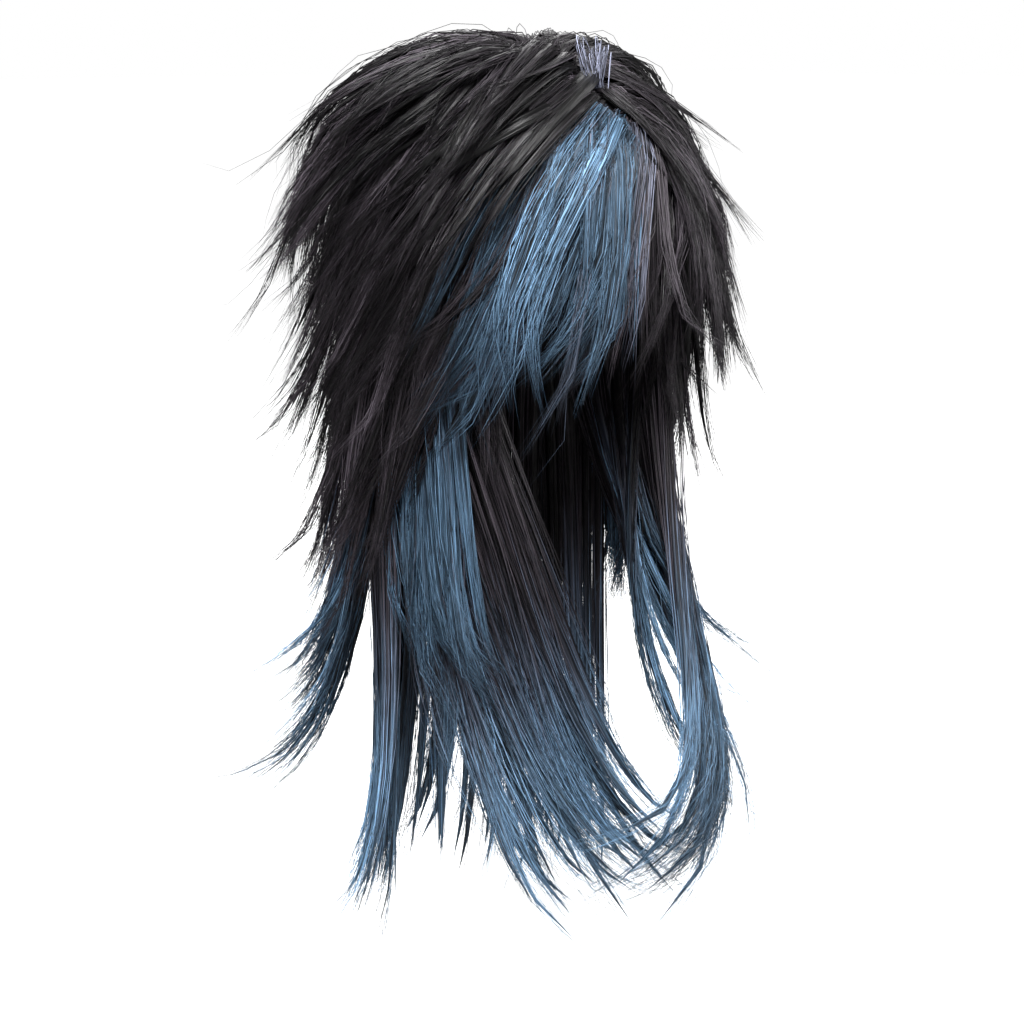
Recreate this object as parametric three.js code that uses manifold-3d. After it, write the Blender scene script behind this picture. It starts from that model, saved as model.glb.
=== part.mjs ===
// A layered mullet wig: an open cap that a head goes up into, and hair in tapered locks that are
// sewn to the cap in rows. Millimetres, +Z up, the face towards -Y and the wearer's right towards -X.
// The origin is the inside top of the cap, where the crown of the head bears.
import * as THREE from "three";
import { ConvexGeometry } from "three/addons/geometries/ConvexGeometry.js";
import { mergeVertices } from "three/addons/utils/BufferGeometryUtils.js";
import Module from "manifold-3d";

const wasm = await Module();
wasm.setup();

// Head space inside the cap
const headWidth = 152;
const headLength = 192;
const headHeight = 210;

// Cap, and the hair bases sewn on it
const capWall = 2;
const baseThickness = 6;
const baseClearance = 0.7;
const pieceGap = 0.4;

// Hair: how far the lowest tip hangs below the origin, and how far the styled layers stand off the head
const hairDrop = 610;
const frontVolume = 42;
const sideVolume = 66;
const backVolume = 100;
const crownLift = 56;
const lockWidth = 50;
const lockThickness = 13;
const widthScatter = 0.16;
const tipTurnScatter = 2.5;

// The cap's edge: ring is the angle down from the top of the head, turn the angle from the face
// towards the wearer's right ear, both in degrees. The left side mirrors it.
const capEdge = [
  { turn: 0, ring: 60 },
  { turn: 28, ring: 64 },
  { turn: 52, ring: 82 },
  { turn: 72, ring: 103 },
  { turn: 90, ring: 99 },
  { turn: 112, ring: 106 },
  { turn: 180, ring: 114 },
];

// The patch of hair base that carries each piece, from its upper to its lower ring and over its turns.
// The outermost pieces come first.
const patches = [
  { name: "crown_locks", upper: 6, lower: 31, from: 14, to: 346, tone: "charcoal" },
  { name: "blue_fringe_locks", upper: 38, lower: 47, from: 2, to: 34, tone: "blue" },
  { name: "dark_fringe_locks", upper: 38, lower: 47, from: -64, to: -1, tone: "charcoal" },
  { name: "upper_layer_locks", upper: 45, lower: 56, from: 36, to: 312, tone: "charcoal" },
  { name: "ear_locks_right", upper: 82, lower: 92, from: 66, to: 83, tone: "charcoal" },
  { name: "ear_locks_left", upper: 82, lower: 92, from: -83, to: -66, tone: "charcoal" },
  { name: "middle_layer_locks", upper: 60, lower: 73, from: 62, to: 298, tone: "charcoal" },
  { name: "blue_panel_right", upper: 76, lower: 85, from: 86, to: 110, tone: "blue" },
  { name: "blue_panel_left", upper: 76, lower: 85, from: -110, to: -86, tone: "blue" },
  { name: "front_tail_right", upper: 88, lower: 95, from: 88, to: 112, tone: "slate" },
  { name: "front_tail_left", upper: 88, lower: 95, from: -112, to: -88, tone: "slate" },
  { name: "back_tail_locks", upper: 88, lower: 102, from: 116, to: 244, tone: "slate" },
];

// A row for each run of like locks, with lengths as shares. ring and from..to place the roots, and
// tipFrom..tipTo the tips round the head. drop is a share of hairDrop at the first lock and the last, uneven
// its scatter. stand is a share of the volume there, lift of crownLift at the front and the back. bulge
// widens the shoulder, turned is the share of the sweep done at it, low how far down it lies. flick throws
// the tip outwards and curl sideways, and reach is how long that bend is.
const lockRows = [
  { on: "crown_locks", count: 6, ring: 12, from: 34, to: 270, tipFrom: 76, tipTo: 258,
    drop: [0.14, 0.12], uneven: 0.04, stand: [0.8, 0.92], lift: [0.45, 0.85], bulge: 1,
    turned: 0.6, low: 0.4, flick: 0.7, curl: 0.3, reach: 0.45, wide: 1.3, thick: 1.15, seed: 1 },
  { on: "crown_locks", count: 9, ring: 26, from: 20, to: 276, tipFrom: 88, tipTo: 264,
    drop: [0.26, 0.24], uneven: 0.05, stand: [0.88, 1.02], lift: [0.42, 0.75], bulge: 1.02,
    turned: 0.72, low: 0.42, flick: 0.6, curl: 0.3, reach: 0.45, wide: 1.6, thick: 1.2, seed: 2 },
  { on: "crown_locks", count: 4, ring: 26, from: -16, to: -66, tipFrom: -42, tipTo: -84,
    drop: [0.2, 0.27], uneven: 0.03, stand: [0.56, 0.7], lift: [0.2, 0.3], bulge: 0.9,
    turned: 0.6, low: 0.5, flick: 0.15, curl: 0.2, reach: 0.45, wide: 1.3, thick: 0.9, seed: 16 },
  { on: "blue_fringe_locks", count: 5, ring: 42, from: 4, to: 34, tipFrom: 26, tipTo: 96,
    drop: [0.28, 0.35], uneven: 0.015, stand: [0.24, 0.44], lift: [0.4, 0.45], bulge: 2,
    turned: 0.48, low: 0.48, flick: 0.1, curl: 1.5, reach: 0.45, wide: 0.95, thick: 0.9, seed: 3 },
  { on: "dark_fringe_locks", count: 3, ring: 42, from: -5, to: -24, tipFrom: 18, tipTo: -18,
    drop: [0.28, 0.28], uneven: 0.01, stand: [0.1, 0.2], lift: [0.3, 0.3], bulge: 2.2,
    turned: 0.4, low: 0.48, flick: 0, curl: 0.25, reach: 0.45, wide: 0.8, thick: 0.6, seed: 4 },
  { on: "dark_fringe_locks", count: 3, ring: 42, from: -32, to: -58, tipFrom: -30, tipTo: -68,
    drop: [0.29, 0.34], uneven: 0.02, stand: [0.48, 0.6], lift: [0.22, 0.22], bulge: 1.3,
    turned: 0.5, low: 0.5, flick: 0.05, curl: 0.2, reach: 0.45, wide: 1.2, thick: 0.8, seed: 5 },
  { on: "upper_layer_locks", count: 9, ring: 51, from: 48, to: 304, tipFrom: 86, tipTo: 284,
    drop: [0.37, 0.37], uneven: 0.05, stand: [0.92, 1.14], lift: [0.4, 0.46], bulge: 0.6,
    turned: 0.6, low: 0.5, flick: 1, curl: 0.3, reach: 0.45, wide: 1.5, thick: 1.1, seed: 6 },
  { on: "ear_locks_right", count: 2, ring: 87, from: 71, to: 79, tipFrom: 56, tipTo: 66,
    drop: [0.42, 0.42], uneven: 0.02, stand: [-0.15, 0], lift: [0.1, 0.1], bulge: 0.5,
    turned: 0.5, low: 0.5, flick: 0.1, curl: -0.4, reach: 0.45, wide: 0.5, thick: 0.5, seed: 7 },
  { on: "ear_locks_left", count: 2, ring: 87, from: -71, to: -79, tipFrom: -36, tipTo: -54,
    drop: [0.4, 0.38], uneven: 0.02, stand: [-0.05, 0.1], lift: [0.1, 0.1], bulge: 1,
    turned: 0.5, low: 0.5, flick: 0.1, curl: -0.3, reach: 0.45, wide: 0.5, thick: 0.5, seed: 8 },
  { on: "middle_layer_locks", count: 8, ring: 67, from: 72, to: 288, tipFrom: 106, tipTo: 264,
    drop: [0.46, 0.52], uneven: 0.07, stand: [0.8, 1.05], lift: [0.36, 0.36], bulge: 0.5,
    turned: 0.55, low: 0.5, flick: 0.9, curl: 0.2, reach: 0.45, wide: 1.45, thick: 1.1, seed: 9 },
  { on: "blue_panel_right", count: 3, ring: 81, from: 90, to: 106, tipFrom: 56, tipTo: 80,
    drop: [0.6, 0.57], uneven: 0.02, stand: [0.1, 0.25], lift: [0.08, 0.08], bulge: 0.7,
    turned: 0.3, low: 0.7, flick: -0.5, curl: -1, reach: 0.45, wide: 0.9, thick: 0.9, seed: 10 },
  { on: "blue_panel_left", count: 3, ring: 81, from: -90, to: -106, tipFrom: -80, tipTo: -98,
    drop: [0.56, 0.58], uneven: 0.02, stand: [0.1, 0.25], lift: [0.08, 0.08], bulge: 0.7,
    turned: 0.3, low: 0.7, flick: -0.5, curl: -0.6, reach: 0.45, wide: 0.9, thick: 0.9, seed: 11 },
  { on: "front_tail_right", count: 4, ring: 91, from: 93, to: 108, tipFrom: -18, tipTo: 24,
    drop: [0.82, 0.82], uneven: 0.02, stand: [0.35, 0.5], lift: [0.06, 0.06], bulge: -1.1,
    turned: 0.2, low: 0.7, flick: 0.5, curl: -1.5, reach: 0.45, wide: 0.85, thick: 1, seed: 12 },
  { on: "front_tail_right", count: 2, ring: 91, from: 98, to: 106, tipFrom: 72, tipTo: 84,
    drop: [0.78, 0.74], uneven: 0.01, stand: [0.4, 0.5], lift: [0.06, 0.06], bulge: -0.6,
    turned: 0.6, low: 0.62, flick: 1, curl: 0.3, reach: 0.45, wide: 0.55, thick: 0.7, seed: 17 },
  { on: "front_tail_left", count: 4, ring: 91, from: -93, to: -108, tipFrom: 20, tipTo: -8,
    drop: [0.83, 0.8], uneven: 0.02, stand: [0.3, 0.5], lift: [0.06, 0.06], bulge: -1.1,
    turned: 0.22, low: 0.56, flick: 0, curl: -4, reach: 0.74, wide: 0.9, thick: 1, seed: 13 },
  { on: "front_tail_left", count: 3, ring: 91, from: -94, to: -106, tipFrom: -34, tipTo: -52,
    drop: [0.78, 0.64], uneven: 0.01, stand: [1.1, 1.4], lift: [0.06, 0.06], bulge: -0.4,
    turned: 0.3, low: 0.6, flick: 1.3, curl: 0.3, reach: 0.45, wide: 0.7, thick: 0.8, seed: 18 },
  { on: "back_tail_locks", count: 4, ring: 92, from: 124, to: 236, tipFrom: 126, tipTo: 234,
    drop: [0.69, 0.69], uneven: 0.07, stand: [1, 1.28], lift: [0.12, 0.12], bulge: 0.35,
    turned: 0.5, low: 0.66, flick: 1.6, curl: 0.1, reach: 0.45, wide: 0.8, thick: 0.9, seed: 14 },
  { on: "back_tail_locks", count: 7, ring: 98, from: 122, to: 238, tipFrom: 128, tipTo: 232,
    drop: [0.965, 0.965], uneven: 0.035, stand: [0.52, 0.68], lift: [0.06, 0.06], bulge: 0.3,
    turned: 0.5, low: 0.6, flick: 0.5, curl: 0.1, reach: 0.45, wide: 1.2, thick: 1.1, seed: 15 },
];

const tones = { cap: 0x1c1b1e, charcoal: 0x2b292d, slate: 0x36475a, blue: 0x4f7698 };

// How finely the solids are faceted: degrees between columns, rings of a shell, and spans of a lock
const columnStep = 12;
const capRings = 6;
const baseRingStep = 14;
const spanLength = 58;
const fewestSpans = 4;
const mostSpans = 6;

// The share of a lock's thickness that lies inside its middle line, and how far out towards its shoulder
// the point lies that its inner side faces
const innerShare = 0.35;
const middleShare = 0.35;

const radians = (degrees) => (degrees * Math.PI) / 180;
const mix = (a, b, share) => a + (b - a) * share;

// A fixed scatter from -1 to 1 for lock number i of a row.
function scatter(seed, i) {
  const raw = Math.sin(seed * 12.9898 + i * 78.233) * 43758.5453;
  return 2 * (raw - Math.floor(raw)) - 1;
}

// The level outward direction at a turn, and the direction in which the turn grows.
const outward = (turn) => new THREE.Vector3(-Math.sin(turn), -Math.cos(turn), 0);
const around = (turn) => new THREE.Vector3(-Math.cos(turn), Math.sin(turn), 0);

// A point at a height off the head, and the outward normal there. The head is half an egg above its
// middle and half below.
function onHead(turn, ring, height) {
  const half = new THREE.Vector3(headWidth, headLength, headHeight).divideScalar(2);
  const unit = outward(turn).multiplyScalar(Math.sin(ring));
  unit.z = Math.cos(ring);
  const normal = unit.clone().divide(half).normalize();
  const point = unit.multiply(half).addScaledVector(normal, height);
  point.z -= half.z;
  return { point, normal };
}

// The head's half breadth in plan at a turn, and the styled volume beyond it.
function planRadius(turn) {
  return 1 / Math.hypot(Math.sin(turn) / (headWidth / 2), Math.cos(turn) / (headLength / 2));
}
function volumeAt(turn) {
  const endVolume = Math.cos(turn) > 0 ? frontVolume : backVolume;
  return mix(sideVolume, endVolume, Math.cos(turn) ** 2);
}

// The ring of the cap's edge at a turn, eased from one row of the table to the next.
function edgeRing(turn) {
  const aside = Math.abs(((turn + 540) % 360) - 180);
  const next = Math.max(1, capEdge.findIndex((point) => point.turn >= aside));
  const [a, b] = [capEdge[next - 1], capEdge[next]];
  const share = (aside - a.turn) / (b.turn - a.turn);
  return mix(a.ring, b.ring, share * share * (3 - 2 * share));
}

// Even steps from one value to another, no longer than a given step.
function stepsBetween(from, to, step) {
  const spans = Math.ceil(Math.abs(to - from) / step);
  return Array.from({ length: spans + 1 }, (_, i) => mix(from, to, i / spans));
}

// A geometry as a solid for joining and cutting, with its shared corners merged and no flat triangles.
// One whose faces point inwards is turned round.
function solidOf(geometry) {
  const bare = new THREE.BufferGeometry();
  bare.setAttribute("position", geometry.getAttribute("position")).setIndex(geometry.index);
  const merged = mergeVertices(bare);
  const corners = [];
  for (let i = 0; i < merged.index.count; i += 3) {
    const [a, b, c] = merged.index.array.slice(i, i + 3);
    if (a !== b && b !== c && c !== a) corners.push(a, b, c);
  }
  const build = (triangles) =>
    new wasm.Manifold(
      new wasm.Mesh({
        numProp: 3,
        vertProperties: merged.getAttribute("position").array,
        triVerts: new Uint32Array(triangles),
      }),
    );
  const made = build(corners);
  return made.volume() > 0 ? made : build(corners.reverse());
}

// A closed shell between two heights off the head, on a grid of turns and rings. It is a whole ring of
// turns or a patch of it.
function shell({ turns, ringsAt, ringCount, low, high, isRing }) {
  const points = [];
  for (const turn of turns) {
    const [upper, lower] = ringsAt(turn);
    for (const height of [low, high]) {
      for (let j = 0; j <= ringCount; j++) {
        const ring = mix(upper, lower, j / ringCount);
        points.push(onHead(radians(turn), radians(ring), height).point);
      }
    }
  }
  const columns = turns.length;
  const last = columns - 1;
  const at = (i, side, j) => ((i % columns) * 2 + side) * (ringCount + 1) + j;
  const triangles = [];
  const quad = (a, b, c, d) => triangles.push(a, b, c, a, c, d);
  for (let i = 0; i < (isRing ? columns : last); i++) {
    for (let j = 0; j < ringCount; j++) {
      quad(at(i, 1, j), at(i + 1, 1, j), at(i + 1, 1, j + 1), at(i, 1, j + 1));
      quad(at(i, 0, j), at(i, 0, j + 1), at(i + 1, 0, j + 1), at(i + 1, 0, j));
    }
    quad(at(i, 0, 0), at(i + 1, 0, 0), at(i + 1, 1, 0), at(i, 1, 0));
    quad(at(i, 1, ringCount), at(i + 1, 1, ringCount), at(i + 1, 0, ringCount), at(i, 0, ringCount));
  }
  for (let j = 0; j < (isRing ? 0 : ringCount); j++) {
    quad(at(0, 0, j), at(0, 1, j), at(0, 1, j + 1), at(0, 0, j + 1));
    quad(at(last, 0, j), at(last, 0, j + 1), at(last, 1, j + 1), at(last, 1, j));
  }
  return solidOf(new THREE.BufferGeometry().setFromPoints(points).setIndex(triangles));
}

// The degrees of arc on the head that hold a clearance with room to spare, at its smallest radius.
const marginFor = (grow) => THREE.MathUtils.radToDeg((2 * grow) / headWidth);

// The cap's own shell, or one that is larger all round by a clearance, on the same grid.
function capShell(grow) {
  const turns = stepsBetween(0, 360, columnStep).slice(0, -1);
  const pastEdge = 2 * marginFor(grow);
  const ringsAt = (turn) => [0, edgeRing(turn) + pastEdge];
  const [low, high] = [-grow, capWall + grow];
  return shell({ turns, ringsAt, ringCount: capRings, low, high, isRing: true });
}

// The head form itself, filled, which all hair stays clear of.
function headForm(height) {
  const sphere = new THREE.SphereGeometry(1, 32, 16).rotateX(Math.PI / 2);
  sphere.scale(headWidth / 2 + height, headLength / 2 + height, headHeight / 2 + height);
  sphere.translate(0, 0, -headHeight / 2);
  return solidOf(sphere);
}

// The middle line of lock number i of a row: a smooth curve through the pull of five points, from its
// root up off the head, over its shoulder and down to its tip.
class LockLine extends THREE.Curve {
  constructor(row, i) {
    super();
    const share = row.count > 1 ? i / (row.count - 1) : 0.5;
    const [a, b] = [scatter(row.seed, i), scatter(row.seed + 0.37, i)];
    const rootTurn = radians(mix(row.from, row.to, share));
    const tipTurn = radians(mix(row.tipFrom, row.tipTo, share) + tipTurnScatter * a);
    const midTurn = mix(rootTurn, tipTurn, row.turned);
    const stand = mix(...row.stand, (a * b + 1) / 2);
    const behind = (1 - Math.cos(rootTurn)) / 2;

    const sewn = onHead(rootTurn, radians(row.ring), capWall + baseClearance + baseThickness / 2);
    const lifted = sewn.point.clone().addScaledVector(sewn.normal, crownLift * mix(...row.lift, behind));
    const tip = outward(tipTurn).multiplyScalar(planRadius(tipTurn) + volumeAt(tipTurn) * stand);
    tip.z = -hairDrop * (mix(...row.drop, share) + row.uneven * b);
    const shoulderOut = planRadius(midTurn) + volumeAt(midTurn) * stand * row.bulge;
    const shoulder = outward(midTurn).multiplyScalar(shoulderOut);
    shoulder.z = mix(lifted.z, tip.z, row.low);
    const aim = outward(tipTurn).multiplyScalar(row.flick);
    aim.addScaledVector(around(tipTurn), Math.sign(Math.sin(rootTurn)) * row.curl);
    aim.z = -1;
    aim.setLength(row.reach * tip.distanceTo(shoulder));
    this.pulls = [sewn.point, lifted, shoulder, tip.clone().sub(aim), tip];
  }

  getPoint(t, target = new THREE.Vector3()) {
    let points = this.pulls;
    while (points.length > 1) {
      points = points.slice(1).map((point, k) => points[k].clone().lerp(point, t));
    }
    return target.copy(points[0]);
  }
}

// How full a lock is along its length: slim at the root, widest past a third, pointed at the tip.
function fullness(t) {
  const swell = 0.55 + 0.45 * Math.sin((Math.PI / 2) * Math.min(1, t / 0.4));
  return swell * Math.sqrt(1 - t ** 2.2);
}

// One lock, flat inside and ridged outside and drawn to a point, as the convex spans between its sections.
// grow swells it all round by a clearance.
function lock(row, i, grow) {
  const line = new LockLine(row, i);
  const halfWidth = (lockWidth * row.wide * (1 + widthScatter * scatter(row.seed + 0.71, i))) / 2;
  const thickness = lockThickness * row.thick;
  const slope = Math.atan2(thickness, halfWidth);
  const spans = THREE.MathUtils.clamp(Math.round(line.getLength() / spanLength), fewestSpans, mostSpans);
  const sections = [];
  for (let k = 0; k < spans; k++) {
    const here = line.getPoint(k / spans);
    const along = line.getTangent(k / spans);
    const middle = line.pulls[2].clone().multiplyScalar(middleShare);
    middle.z = Math.min(-headHeight / 2, here.z);
    const out = here.clone().sub(middle);
    out.addScaledVector(along, -out.dot(along)).normalize();
    const across = along.clone().cross(out);
    const full = fullness(k / spans);
    const side = halfWidth * full + grow / Math.tan(slope / 2);
    const inner = -thickness * full * innerShare - grow;
    const ridge = thickness * full * (1 - innerShare) + grow / Math.cos(slope);
    const centres = k === 0 ? [here.clone().addScaledVector(along, -grow), here] : [here];
    sections.push(centres.flatMap((centre) => [
      centre.clone().addScaledVector(across, side).addScaledVector(out, inner),
      centre.clone().addScaledVector(out, ridge),
      centre.clone().addScaledVector(across, -side).addScaledVector(out, inner),
    ]));
  }
  const tip = line.getPoint(1);
  const lastSpan = tip.clone().sub(line.getPoint(1 - 1 / spans));
  const pastTip = grow / (halfWidth * Math.sin(slope) * fullness(1 - 1 / spans));
  sections.push([tip.addScaledVector(lastSpan, pastTip)]);
  const hulls = sections.slice(1).map((section, k) => new ConvexGeometry([...sections[k], ...section]));
  return wasm.Manifold.union(hulls.map(solidOf));
}

// A piece of hair: its base patch on the cap with all its locks fused to it.
function hairPiece(patch, grow) {
  const ringMargin = marginFor(grow);
  const turnMargin = ringMargin / Math.sin(radians(patch.upper));
  const turns = stepsBetween(patch.from, patch.to, columnStep);
  turns[0] -= turnMargin;
  turns[turns.length - 1] += turnMargin;
  const base = shell({
    turns,
    ringsAt: () => [patch.upper - ringMargin, patch.lower + ringMargin],
    ringCount: Math.ceil((patch.lower - patch.upper) / baseRingStep),
    low: capWall + baseClearance - grow,
    high: capWall + baseClearance + baseThickness + grow,
    isRing: false,
  });
  const rows = lockRows.filter((row) => row.on === patch.name);
  const locks = rows.flatMap((row) => Array.from({ length: row.count }, (_, i) => lock(row, i, grow)));
  return wasm.Manifold.union([base, ...locks]);
}

function meshOf(name, solid, tone) {
  const { numProp, vertProperties, triVerts } = solid.getMesh();
  const geometry = new THREE.BufferGeometry();
  geometry.setAttribute("position", new THREE.BufferAttribute(vertProperties, numProp));
  geometry.setIndex(new THREE.BufferAttribute(triVerts, 1));
  geometry.computeVertexNormals();
  const material = new THREE.MeshStandardMaterial({ color: tones[tone], roughness: 0.5, metalness: 0 });
  const mesh = new THREE.Mesh(geometry, material);
  mesh.name = name;
  return mesh;
}

const wig = new THREE.Group();
wig.add(meshOf("wig_cap", capShell(0), "cap"));

// Each piece is cut back by the clearance from the head, the cap and the pieces outside it. A tip that a
// cut leaves loose is dropped.
let taken = headForm(pieceGap).add(capShell(pieceGap));
for (const patch of patches) {
  const bodies = hairPiece(patch, 0).subtract(taken).decompose();
  const largest = bodies.sort((a, b) => b.volume() - a.volume())[0];
  wig.add(meshOf(patch.name, largest, patch.tone));
  taken = taken.add(hairPiece(patch, pieceGap));
}

export default wig;
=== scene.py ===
import math

import bpy
import numpy as np
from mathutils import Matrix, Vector


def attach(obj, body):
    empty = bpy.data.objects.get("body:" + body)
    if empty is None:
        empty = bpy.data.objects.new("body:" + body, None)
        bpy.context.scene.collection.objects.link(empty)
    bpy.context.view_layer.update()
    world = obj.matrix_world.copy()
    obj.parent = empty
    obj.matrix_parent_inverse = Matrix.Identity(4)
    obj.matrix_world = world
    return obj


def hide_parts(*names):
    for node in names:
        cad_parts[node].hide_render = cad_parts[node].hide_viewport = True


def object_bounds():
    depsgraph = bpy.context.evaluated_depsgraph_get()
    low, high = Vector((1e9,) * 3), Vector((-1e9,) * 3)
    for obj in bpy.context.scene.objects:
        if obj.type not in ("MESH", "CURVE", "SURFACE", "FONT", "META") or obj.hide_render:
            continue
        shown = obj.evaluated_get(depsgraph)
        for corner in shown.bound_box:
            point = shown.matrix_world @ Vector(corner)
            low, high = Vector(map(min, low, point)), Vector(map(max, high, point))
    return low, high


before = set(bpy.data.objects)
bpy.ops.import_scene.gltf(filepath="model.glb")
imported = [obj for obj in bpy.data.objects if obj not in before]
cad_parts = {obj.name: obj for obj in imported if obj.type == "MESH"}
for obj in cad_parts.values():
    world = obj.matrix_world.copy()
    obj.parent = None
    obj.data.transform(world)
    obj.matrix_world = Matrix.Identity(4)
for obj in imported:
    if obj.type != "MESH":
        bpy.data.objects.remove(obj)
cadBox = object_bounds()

bpy.ops.object.select_all(action="DESELECT")

# The head space inside the cap, in metres: the face is towards -Y and the wearer's right towards -X.
head = {"width": 0.152, "length": 0.192, "height": 0.210}

# How far the hair hangs and stands off the head, and how broad its locks are
style = {
    "drop": 0.610, "frontVolume": 0.042, "sideVolume": 0.066, "backVolume": 0.100,
    "crownLift": 0.056, "lockWidth": 0.050, "lockThickness": 0.013, "sewnAt": 0.0057,
    "widthScatter": 0.16, "middleShare": 0.35, "hangSeed": 0.37, "widthSeed": 0.71, "spare": 0.014,
}

# What a row of locks has unless it says otherwise. Strips stray by bend, wave, drift and depth (metres), end
# by taper and ragged, and narrow late. Inner is the share of strands under a core, loose the share that
# strays. A dye is the share of hair that takes it, where it comes in, where it is full, and how much the rest
# takes. Shade scales how bright the row's hair is: low on rows lying under others, as painted shade, high on
# locks swept over them, as painted light, and otherwise it evens out the tone between pieces.
usualRow = {
    "scatter": 2.5, "bend": 0.012, "wave": 0.007, "drift": 0.004, "depth": 0.005, "taper": 0.2,
    "ragged": 0.12, "late": 1.9, "core": 0.72, "coreEnd": 0.82, "sides": 8, "shade": 0.85, "shortest": 0.8,
    "spacing": 1.1, "splay": 0.0018, "inner": 0.1, "loose": 0.05, "arch": 0.008, "plain": 0,
    "reach": 0.45, "dye": (0, 0.5, 0.8, 0),
}

# How finely hair is meshed: metres between its rings, rings added, and the fewest and most of them
fineness = {
    "core": {"each": 0.03, "extra": 0, "fewest": 7, "most": 12},
    "strand": {"each": 0.05, "extra": 2, "fewest": 6, "most": 11},
    "looseExtra": 4, "guidePoints": 30, "strandSides": 3,
}


# Small helpers for directions and shares

def mix(a, b, share):
    return a + (b - a) * share


# A repeatable number from -1 to 1 for each seed and lock
def scatter(seed, i):
    raw = math.sin(seed * 12.9898 + i * 78.233) * 43758.5453
    return 2 * (raw - math.floor(raw)) - 1


# Turns go from the front towards the wearer's right, and rings down from the top. Rows give both in degrees.
def outward(turn):
    return np.array([-math.sin(turn), -math.cos(turn), 0.0])


def around(turn):
    return np.array([-math.cos(turn), math.sin(turn), 0.0])


def unit(v):
    return v / np.maximum(np.linalg.norm(v, axis=-1, keepdims=True), 1e-9)


def dot(a, b):
    return np.sum(a * b, axis=-1, keepdims=True)


def smooth(low, high, x):
    s = np.clip((x - low) / (high - low), 0, 1)
    return s * s * (3 - 2 * s)


def onHead(turn, ring, height):
    half = np.array([head["width"], head["length"], head["height"]]) / 2
    away = outward(turn) * math.sin(ring) + np.array([0, 0, math.cos(ring)])
    normal = unit(away / half)
    point = away * half + normal * height
    point[2] -= half[2]
    return point, normal


def planRadius(turn):
    return 1 / math.hypot(math.sin(turn) / (head["width"] / 2), math.cos(turn) / (head["length"] / 2))


def volumeAt(turn):
    endVolume = style["frontVolume"] if math.cos(turn) > 0 else style["backVolume"]
    return mix(style["sideVolume"], endVolume, math.cos(turn) ** 2)


# One lock's middle line: root, lifted off the head, shoulder, the pull above the tip, and the tip

def lockGuide(row, i):
    share = i / (row["count"] - 1) if row["count"] > 1 else 0.5
    a, b = scatter(row["seed"], i), scatter(row["seed"] + style["hangSeed"], i)
    rootTurn = math.radians(mix(*row["turns"], share))
    tipTurn = math.radians(mix(*row["tips"], share) + row["scatter"] * a)
    midTurn = mix(rootTurn, tipTurn, row["turned"])
    stand = mix(*row["stand"], (a * b + 1) / 2)
    behind = (1 - math.cos(rootTurn)) / 2

    ring = math.radians(mix(row["ring"], row.get("ringTo", row["ring"]), share))
    root, normal = onHead(rootTurn, ring, style["sewnAt"])
    lifted = root + normal * style["crownLift"] * mix(*row["lift"], behind)
    tip = outward(tipTurn) * (planRadius(tipTurn) + volumeAt(tipTurn) * stand)
    tip[2] = -style["drop"] * (mix(*row["drop"], share) + row["uneven"] * b)
    shoulder = outward(midTurn) * (planRadius(midTurn) + volumeAt(midTurn) * stand * row["bulge"])
    shoulder[2] = mix(lifted[2], tip[2], row["low"])
    aim = outward(tipTurn) * row["flick"]
    aim += around(tipTurn) * np.sign(math.sin(rootTurn)) * row["curl"]
    aim[2] = -1
    aim = unit(aim) * row["reach"] * np.linalg.norm(tip - shoulder)
    pulls = np.array([root, lifted, shoulder, tip - aim, tip])
    c = scatter(row["seed"] + style["widthSeed"], i)
    width = style["lockWidth"] * row["wide"] * (1 + style["widthScatter"] * c)
    guide = {"pulls": pulls, "halfWidth": width / 2, "thickness": style["lockThickness"] * row["thick"]}
    line = alongLock(guide, np.linspace(0, 1, fineness["guidePoints"]))[0]
    guide["length"] = float(np.linalg.norm(np.diff(line, axis=0), axis=1).sum())
    return guide


def alongLock(guide, t):
    pulls = guide["pulls"]
    rest = 1 - t
    weights = [rest ** 4, 4 * t * rest ** 3, 6 * t ** 2 * rest ** 2, 4 * t ** 3 * rest, t ** 4]
    point = sum(w[..., None] * pull for w, pull in zip(weights, pulls))
    slopes = [rest ** 3, 3 * t * rest ** 2, 3 * t ** 2 * rest, t ** 3]
    tangent = unit(sum(w[..., None] * step for w, step in zip(slopes, np.diff(pulls, axis=0))))
    middle = np.zeros_like(point) + pulls[2] * style["middleShare"]
    middle[..., 2] = np.minimum(-head["height"] / 2, point[..., 2])
    out = point - middle
    out = unit(out - tangent * dot(out, tangent))
    return point, tangent, np.cross(tangent, out), out


# How full a lock is along its length: it swells from the root and closes in at the tip
lockShape = {"root": 0.55, "swell": 0.45, "swellEnd": 0.4, "close": 2.2}


def fullness(t):
    s = np.minimum(1, t / lockShape["swellEnd"])
    swell = lockShape["root"] + lockShape["swell"] * np.sin(np.pi / 2 * s)
    return swell * np.sqrt(np.clip(1 - np.clip(t, 0, 1) ** lockShape["close"], 0, 1))


# Meshes are gathered as arrays, one batch for each piece. Each tube starts its flow map at its own place
# within flowSpan metres, so that no two have the same streaks.
flowSpan = 20


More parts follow.
